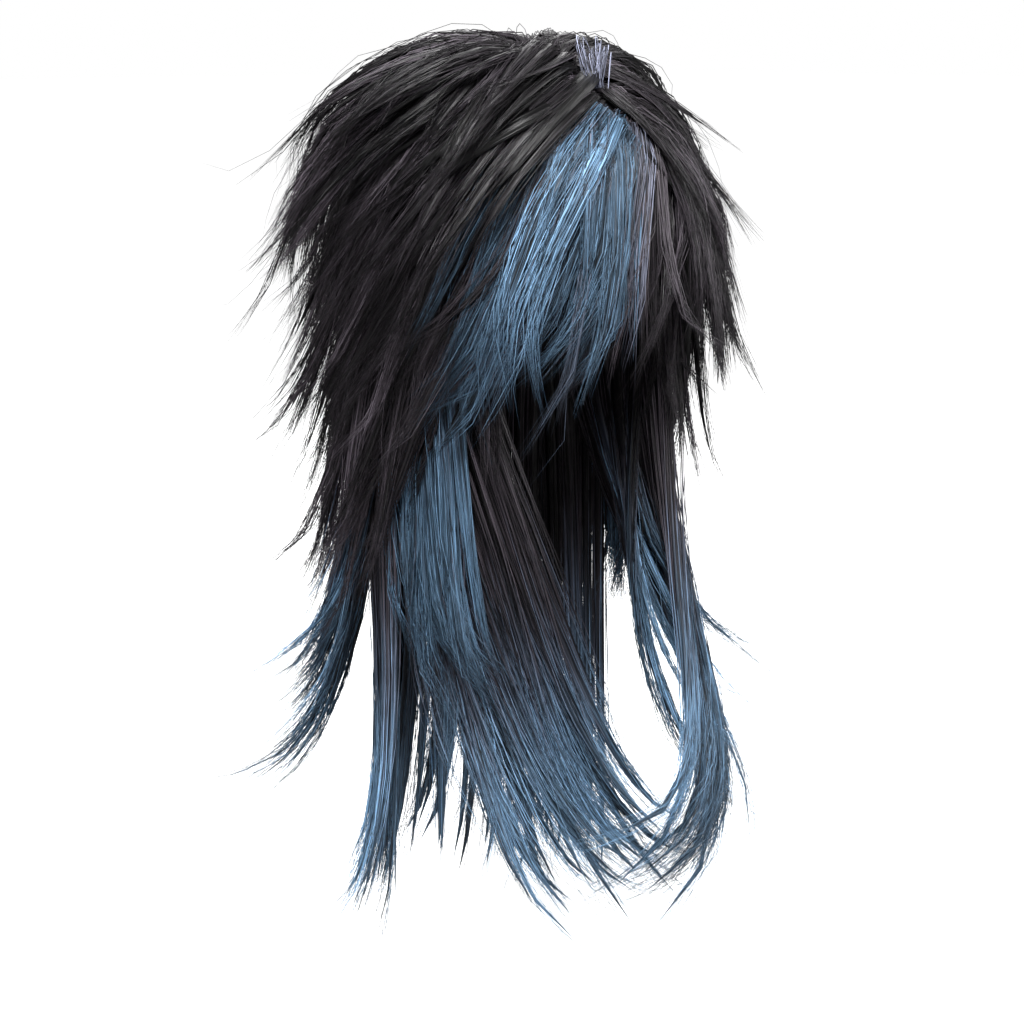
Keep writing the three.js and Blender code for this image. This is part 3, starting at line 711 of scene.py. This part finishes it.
panelRightRows = [
    {"count": 3, "ring": 81, "turns": (90, 106), "tips": (56, 80), "drop": (0.6, 0.57), "uneven": 0.02,
     "stand": (0.1, 0.25), "lift": (0.08, 0.08), "bulge": 0.7, "turned": 0.3, "low": 0.7, "flick": -0.5,
     "curl": -1, "wide": 0.9, "thick": 0.9, "seed": 10, "strips": 6, "strands": 34,
     "late": 3.2, "shade": 1.2, "taper": 0.1, "ragged": 0.08, "dye": (0.9, 0.16, 0.46, 0.35)},
]
total += hairPiece("blue_panel_right", blueHair, panelRightRows, 18)

panelLeftRows = [
    {"count": 3, "ring": 81, "turns": (-90, -106), "tips": (-80, -98), "drop": (0.56, 0.58), "uneven": 0.02,
     "stand": (0.1, 0.25), "lift": (0.08, 0.08), "bulge": 0.7, "turned": 0.3, "low": 0.7, "flick": -0.5,
     "curl": -0.6, "wide": 0.9, "thick": 0.9, "seed": 11, "strips": 6, "strands": 34,
     "late": 3.2, "shade": 1.2, "taper": 0.1, "ragged": 0.08, "dye": (0.9, 0.16, 0.46, 0.35)},
]
total += hairPiece("blue_panel_left", blueHair, panelLeftRows, 19)

tailRightRows = [
    {"count": 4, "ring": 91, "turns": (93, 108), "tips": (-18, 24), "drop": (0.82, 0.82), "uneven": 0.02,
     "stand": (0.35, 0.5), "lift": (0.06, 0.06), "bulge": -1.1, "turned": 0.2, "low": 0.74, "flick": 0.4,
     "curl": -2, "reach": 0.5, "wide": 0.85, "thick": 1, "seed": 12, "strips": 5, "strands": 34,
     "late": 3, "spacing": 0.9, "coreEnd": 0.95, "splay": 0.004, "drift": 0.008, "taper": 0.1,
     "ragged": 0.06, "dye": (0.95, 0.47, 0.76, 0.35)},
    {"count": 3, "ring": 91, "turns": (96, 106), "tips": (-8, 16), "drop": (0.8, 0.8), "uneven": 0.01,
     "stand": (0.3, 0.4), "lift": (0.06, 0.06), "bulge": -1.1, "turned": 0.2, "low": 0.74, "flick": 0.4,
     "curl": -2, "reach": 0.5, "wide": 1.5, "thick": 0.6, "seed": 72, "strips": 6, "strands": 18, "core": 0,
     "late": 3, "spacing": 0.9, "shortest": 0.75, "splay": 0.006, "taper": 0.1,
     "dye": (0.95, 0.47, 0.76, 0.35)},
    {"count": 2, "ring": 91, "turns": (98, 106), "tips": (72, 84), "drop": (0.78, 0.74), "uneven": 0.01,
     "stand": (0.4, 0.5), "lift": (0.06, 0.06), "bulge": -0.6, "turned": 0.6, "low": 0.62, "flick": 1,
     "curl": 0.3, "wide": 0.55, "thick": 0.7, "seed": 17, "strips": 4, "strands": 26,
     "late": 2.4, "dye": (0.9, 0.4, 0.7, 0.4)},
]
total += hairPiece("front_tail_right", slateHair, tailRightRows, 20)

tailLeftRows = [
    {"count": 4, "ring": 91, "turns": (-93, -108), "tips": (20, -8), "drop": (0.83, 0.8), "uneven": 0.02,
     "stand": (0.3, 0.5), "lift": (0.06, 0.06), "bulge": -1.1, "turned": 0.22, "low": 0.56, "flick": 0,
     "curl": -4, "reach": 0.74, "wide": 0.9, "thick": 1, "seed": 13, "strips": 4, "strands": 40,
     "late": 3, "spacing": 0.85, "shortest": 0.86, "coreEnd": 0.97, "splay": 0.004, "taper": 0.06,
     "ragged": 0.05, "dye": (0.92, 0.46, 0.72, 0.4)},
    {"count": 2, "ring": 91, "turns": (-96, -105), "tips": (14, -2), "drop": (0.82, 0.8), "uneven": 0.01,
     "stand": (0.3, 0.4), "lift": (0.06, 0.06), "bulge": -1.1, "turned": 0.22, "low": 0.56, "flick": 0,
     "curl": -4, "reach": 0.74, "wide": 1.5, "thick": 0.6, "seed": 73, "strips": 6, "strands": 18, "core": 0,
     "late": 3, "spacing": 0.85, "shortest": 0.85, "splay": 0.006, "taper": 0.06, "ragged": 0.05,
     "dye": (0.92, 0.46, 0.72, 0.4)},
    {"count": 3, "ring": 91, "turns": (-94, -106), "tips": (-34, -52), "drop": (0.78, 0.64), "uneven": 0.01,
     "stand": (1.1, 1.4), "lift": (0.06, 0.06), "bulge": -0.4, "turned": 0.3, "low": 0.6, "flick": 2,
     "curl": 0.3, "reach": 0.5, "wide": 0.7, "thick": 0.8, "seed": 18, "strips": 4, "strands": 32,
     "late": 2.6, "taper": 0.06, "ragged": 0.08, "shortest": 0.75, "spacing": 0.95,
     "dye": (0.9, 0.4, 0.66, 0.4)},
]
total += hairPiece("front_tail_left", slateHair, tailLeftRows, 21)

backTailRows = [
    {"count": 4, "ring": 92, "turns": (124, 236), "tips": (126, 234), "drop": (0.69, 0.69), "uneven": 0.07,
     "stand": (1, 1.28), "lift": (0.12, 0.12), "bulge": 0.35, "turned": 0.5, "low": 0.66, "flick": 1.6,
     "curl": 0.1, "wide": 0.8, "thick": 0.9, "seed": 14, "strips": 6, "strands": 18,
     "late": 2.4, "dye": (0.95, 0.42, 0.68, 0.6)},
    {"count": 7, "ring": 98, "turns": (122, 238), "tips": (128, 232), "drop": (0.975, 0.965), "uneven": 0.035,
     "stand": (0.52, 0.68), "lift": (0.06, 0.06), "bulge": 0.3, "turned": 0.5, "low": 0.6, "flick": 1,
     "curl": 0.1, "wide": 1.45, "thick": 1.1, "seed": 15, "strips": 7, "strands": 18,
     "inner": 0.4, "taper": 0.08, "ragged": 0.1, "shortest": 0.75, "late": 3, "splay": 0.004,
     "coreEnd": 0.92, "dye": (0.95, 0.42, 0.68, 0.75)},
]
backFlickRows = [
    {**sweptLock, "count": 6, "ring": 93, "turns": (122, 150), "tips": (118, 156), "drop": (0.6, 0.82),
     "stand": (1.22, 1.45), "lift": (0.1, 0.1), "bulge": 0.12, "low": 0.72, "flick": 3.2, "curl": 0,
     "reach": 0.6, "wide": 0.5, "scatter": 7, "taper": 0.08, "ragged": 0.08, "spacing": 0.9,
     "seed": 62, "dye": (0.95, 0.44, 0.68, 0.5), "shade": 1},
    {**sweptLock, "count": 3, "ring": 93, "turns": (-122, -156), "tips": (-122, -158), "drop": (0.62, 0.8),
     "stand": (1.08, 1.3), "lift": (0.1, 0.1), "bulge": 0.35, "low": 0.66, "flick": 1.9, "curl": 0,
     "seed": 63, "dye": (0.95, 0.44, 0.68, 0.5), "shade": 1},
]
total += hairPiece("back_tail_locks", slateHair, backTailRows, 22)
total += hairPiece("back_tail_locks", slateHair, backFlickRows, 25, "flicks")

# A small tuft of loose loops stands up from the part, in clumps that lean and rise each in their own way
tuft = {
    "turn": 4, "ring": 33, "low": 0.010, "facing": -42, "rise": 0.034, "spread": 0.014, "strands": 28,
    "steps": 12, "leans": (-1.0, -0.35, 0.3, 0.9), "leanScatter": 0.3,
    "rises": (0.8, 1.0, 0.85, 1.05), "riseScatter": (0.85, 1.1),
    "sway": 0.004, "swing": 0.8, "closed": 0.66, "open": 0.26, "depth": 0.003, "bow": 0.006,
    "thinner": 0.8, "point": 0.7, "along": 0.4, "glow": (0.3, 0.9), "dye": 0.45, "seed": 71,
}


def tuftLoops():
    rng = np.random.default_rng(tuft["seed"])
    batch = Batch()
    many, each = tuft["strands"], (tuft["strands"], 1, 1)
    s = np.linspace(0, 1, tuft["steps"])[None, :, None]
    root, normal = onHead(math.radians(tuft["turn"]), math.radians(tuft["ring"]), tuft["low"])
    clump = rng.integers(0, len(tuft["leans"]), each)
    lean = np.array(tuft["leans"])[clump] + rng.normal(0, tuft["leanScatter"], each)
    high = tuft["rise"] * np.array(tuft["rises"])[clump] * rng.uniform(*tuft["riseScatter"], each)
    loop = rng.uniform(0.5, 1, each)
    facing = math.radians(tuft["facing"])
    sideways, forward = around(facing), outward(facing)
    x = tuft["spread"] * lean * np.sin(np.pi * tuft["swing"] * s)
    x = x + tuft["sway"] * np.sin(2 * np.pi * s) * loop
    y = rng.normal(0, tuft["depth"], each) + tuft["bow"] * np.sin(np.pi * s) * rng.normal(0, 1, each)
    z = high * np.sin(np.pi * (tuft["closed"] + tuft["open"] * loop) * s)  # loops come part of the way down
    lines = root + sideways * x + forward * y + np.array([0, 0, 1.0]) * z
    tangents = unit(np.gradient(lines, axis=1))
    across = unit(np.cross(tangents, forward + 0 * tangents))
    radius = strands["radius"] * tuft["thinner"] * (1 - tuft["point"] * s[..., 0] ** 3) * np.ones((many, 1))
    glow = rng.uniform(*tuft["glow"], (many, 1)) + 0 * radius
    note = np.stack([tuft["along"] + 0 * radius, glow, tuft["dye"] + 0 * radius], axis=-1)
    batch.tubes(lines, across, np.cross(across, tangents), radius, radius, fineness["strandSides"], 0, note,
                rng.uniform(0, flowSpan, many))
    piece = batch.mesh("part_tuft", charcoalHair)
    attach(piece, "root")
    return batch.triangles


total += tuftLoops()
print("hair made:", total, "triangles")


# The cap: a net shell with sewn weft ribs and a bound edge. The edge gives the ring, in degrees from the top,
# at each turn from the front, as the solid's does.
cap = {
    "wall": 0.002, "edge": [(0, 60), (28, 64), (52, 82), (72, 103), (90, 99), (112, 106), (180, 114)],
    "columns": 72, "rings": 26, "firstRib": 10, "ribStep": 9, "rib": 0.0008, "ribTurn": 6, "ribShort": 2,
    "binding": 0.0016, "bindingTurn": 4, "bindingIn": 0.6,
}


def edgeRing(turn):
    aside = abs((turn + 540) % 360 - 180)
    rows = cap["edge"]
    for (turnA, ringA), (turnB, ringB) in zip(rows, rows[1:]):
        if aside <= turnB:
            share = (aside - turnA) / (turnB - turnA)
            return mix(ringA, ringB, share * share * (3 - 2 * share))


def capPoint(turn, ring, height):
    return onHead(math.radians(turn), math.radians(ring), height)[0]


def pick(*pieces):
    bpy.ops.object.select_all(action="DESELECT")
    for piece in pieces:
        piece.select_set(True)
    bpy.context.view_layer.objects.active = pieces[-1]


def capShell():
    columns, rings = cap["columns"], cap["rings"]
    points = [capPoint(0, 0, cap["wall"])]
    for j in range(1, rings + 1):
        for i in range(columns):
            turn = 360 * i / columns
            points.append(capPoint(turn, edgeRing(turn) * j / rings, cap["wall"]))
    at = lambda i, j: 1 + (j - 1) * columns + i % columns
    faces = [(0, at(i, 1), at(i + 1, 1)) for i in range(columns)]
    faces += [(at(i, j), at(i, j + 1), at(i + 1, j + 1), at(i + 1, j)) for j in range(1, rings)
              for i in range(columns)]
    mesh = bpy.data.meshes.new("capShell")
    mesh.from_pydata([tuple(p) for p in points], [], faces)
    shell = bpy.data.objects.new("capShell", mesh)
    bpy.context.collection.objects.link(shell)
    pick(shell)
    bpy.ops.object.mode_set(mode="EDIT")
    bpy.ops.mesh.select_all(action="SELECT")
    bpy.ops.mesh.normals_make_consistent(inside=False)
    bpy.ops.object.mode_set(mode="OBJECT")
    wall = shell.modifiers.new("wall", "SOLIDIFY")
    wall.thickness = cap["wall"]
    wall.offset = -1
    bpy.ops.object.modifier_apply(modifier="wall")
    bpy.ops.object.shade_smooth()
    return shell


def capRibs():
    curve = bpy.data.curves.new("capRibs", "CURVE")
    curve.dimensions = "3D"
    curve.bevel_depth = cap["rib"]
    curve.bevel_resolution = 1
    curve.use_fill_caps = True
    for ring in range(cap["firstRib"], cap["edge"][-1][1], cap["ribStep"]):
        turns = [t for t in range(0, 360, cap["ribTurn"]) if edgeRing(t) > ring + cap["ribShort"]]
        line = curve.splines.new("POLY")
        line.points.add(len(turns) - 1)
        for point, turn in zip(line.points, turns):
            point.co = (*capPoint(turn, ring, cap["wall"]), 1)
        line.use_cyclic_u = len(turns) * cap["ribTurn"] == 360
    ribs = bpy.data.objects.new("capRibs", curve)
    edge = bpy.data.curves.new("capBinding", "CURVE")
    edge.dimensions = "3D"
    edge.bevel_depth = cap["binding"]
    edge.bevel_resolution = 2
    line = edge.splines.new("POLY")
    turns = range(0, 360, cap["bindingTurn"])
    line.points.add(len(turns) - 1)
    for point, turn in zip(line.points, turns):
        point.co = (*capPoint(turn, edgeRing(turn) - cap["bindingIn"], cap["wall"] / 2), 1)
    line.use_cyclic_u = True
    binding = bpy.data.objects.new("capBinding", edge)
    for piece in (ribs, binding):
        bpy.context.collection.objects.link(piece)
    return ribs, binding


def netGroup():
    tree = bpy.data.node_groups.new("netWeave", "ShaderNodeTree")
    face = tree.interface
    face.new_socket("Scale", in_out="INPUT", socket_type="NodeSocketFloat").default_value = 700
    face.new_socket("Mask", in_out="OUTPUT", socket_type="NodeSocketFloat")
    nodes = tree.nodes
    inside, outside = nodes.new("NodeGroupInput"), nodes.new("NodeGroupOutput")
    place = nodes.new("ShaderNodeTexCoord")
    cells = nodes.new("ShaderNodeTexVoronoi")
    cells.feature = "DISTANCE_TO_EDGE"
    link(tree, place.outputs["Object"], cells.inputs["Vector"])
    link(tree, inside.outputs["Scale"], cells.inputs["Scale"])
    link(tree, cells.outputs["Distance"], outside.inputs["Mask"])
    return tree


netWeave = netGroup()


# The net and the band share one weave: only its size and its two tones differ.
weaveLook = {"gap": 0.2, "relief": 0.5, "depth": 0.0004, "rough": 0.85}


def capMaterial(name, scale, pale, dark):
    material = bpy.data.materials.new(name)
    material.use_nodes = True
    tree = material.node_tree
    shader = tree.nodes["Principled BSDF"]
    group = tree.nodes.new("ShaderNodeGroup")
    group.node_tree = netWeave
    group.inputs["Scale"].default_value = scale
    tone = tree.nodes.new("ShaderNodeValToRGB")
    tone.color_ramp.elements[0].color = (*pale, 1)
    tone.color_ramp.elements[1].color = (*dark, 1)
    tone.color_ramp.elements[1].position = weaveLook["gap"]
    link(tree, group.outputs["Mask"], tone.inputs["Fac"])
    link(tree, tone.outputs["Color"], shader.inputs["Base Color"])
    bump = tree.nodes.new("ShaderNodeBump")
    bump.inputs["Strength"].default_value = weaveLook["relief"]
    bump.inputs["Distance"].default_value = weaveLook["depth"]
    bump.invert = True
    link(tree, group.outputs["Mask"], bump.inputs["Height"])
    link(tree, bump.outputs["Normal"], shader.inputs["Normal"])
    shader.inputs["Roughness"].default_value = weaveLook["rough"]
    return material


capNet = capMaterial("capNet", 700, (0.028, 0.026, 0.028), (0.008, 0.007, 0.008))
capBand = capMaterial("capBand", 1600, (0.022, 0.020, 0.022), (0.010, 0.009, 0.010))
shell = capShell()
ribs, binding = capRibs()
for piece, material in ((shell, capNet), (ribs, capBand), (binding, capBand)):
    pick(piece)
    bpy.ops.object.convert(target="MESH")
    piece.data.materials.clear()
    piece.data.materials.append(material)
    bpy.ops.object.shade_smooth()
pick(ribs, binding, shell)
bpy.ops.object.join()
shell.name = "wig_cap_net"
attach(shell, "root")
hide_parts("wig_cap")
total += sum(len(face.vertices) - 2 for face in shell.data.polygons)
print("cap made, in all:", total, "triangles")


# Camera at the photograph's angle, then floor and light

camera = {"azimuth": -42, "elevation": 11, "distance": 1.6, "aimSide": -0.015, "aimHeight": -0.275,
          "lens": 87.2, "sensor": 36}
az, el = math.radians(camera["azimuth"]), math.radians(camera["elevation"])
sideways = Vector((math.cos(az), math.sin(az), 0))
back = Vector((math.sin(az) * math.cos(el), -math.cos(az) * math.cos(el), math.sin(el)))
aim = sideways * camera["aimSide"] + Vector((0, 0, camera["aimHeight"]))
bpy.ops.object.camera_add(location=aim + back * camera["distance"])
eye = bpy.context.object
eye.rotation_euler = back.to_track_quat("Z", "Y").to_euler()
eye.data.lens = camera["lens"]
eye.data.sensor_width = camera["sensor"]
bpy.context.scene.camera = eye

# the floor looks white to the camera, and throws less light up at the hair
ground = {"size": 60, "height": -0.66, "seen": 0.995, "bounce": 0.3, "glow": 0.91}
bpy.ops.mesh.primitive_plane_add(size=ground["size"], location=(0, 0, ground["height"]))
floor = bpy.context.object
floor.name = "floor"
floorPaint = bpy.data.materials.new("paleFloor")
floorPaint.use_nodes = True
floor.data.materials.append(floorPaint)
tree = floorPaint.node_tree
shader = tree.nodes["Principled BSDF"]
shader.inputs["Roughness"].default_value = 1
shader.inputs["Specular IOR Level"].default_value = 0
shader.inputs["Emission Color"].default_value = (1, 1, 1, 1)
ray = tree.nodes.new("ShaderNodeLightPath")
link(tree, times(tree, ray.outputs["Is Camera Ray"], ground["glow"]), shader.inputs["Emission Strength"])
pale = tree.nodes.new("ShaderNodeMix")
pale.data_type = "RGBA"
pale.inputs["A"].default_value = (*[ground["bounce"]] * 3, 1)
pale.inputs["B"].default_value = (*[ground["seen"]] * 3, 1)
link(tree, ray.outputs["Is Camera Ray"], pale.inputs["Factor"])
link(tree, pale.outputs["Result"], shader.inputs["Base Color"])

lightAim = Vector((0, 0, -0.25))
lights = {
    "key": {"place": (-1.3, -1.3, 1.9), "size": 1.3, "power": 185},
    "fill": {"place": (1.8, -1.2, 0.6), "size": 1.8, "power": 42},
    "rim": {"place": (0.8, 1.8, 1.3), "size": 2.0, "power": 34},
}
for name, lamp in lights.items():
    bpy.ops.object.light_add(type="AREA", location=lamp["place"])
    light = bpy.context.object
    light.name = name
    light.data.size = lamp["size"]
    light.data.energy = lamp["power"]
    light.rotation_euler = (Vector(lamp["place"]) - lightAim).to_track_quat("Z", "Y").to_euler()

world = bpy.data.worlds.new("studio")
bpy.context.scene.world = world
world.use_nodes = True

# the room is white to the camera and softer on the hair
roomLight = {"seen": 1.0, "shed": 0.12}
tree = world.node_tree
ray = tree.nodes.new("ShaderNodeLightPath")
strength = mapRange(tree, ray.outputs["Is Camera Ray"], (0, 1), (roomLight["shed"], roomLight["seen"]))
link(tree, strength, tree.nodes["Background"].inputs["Strength"])
tree.nodes["Background"].inputs["Color"].default_value = (1, 1, 1, 1)
bpy.context.scene.view_settings.view_transform = "Standard"
print("camera, floor and light made")
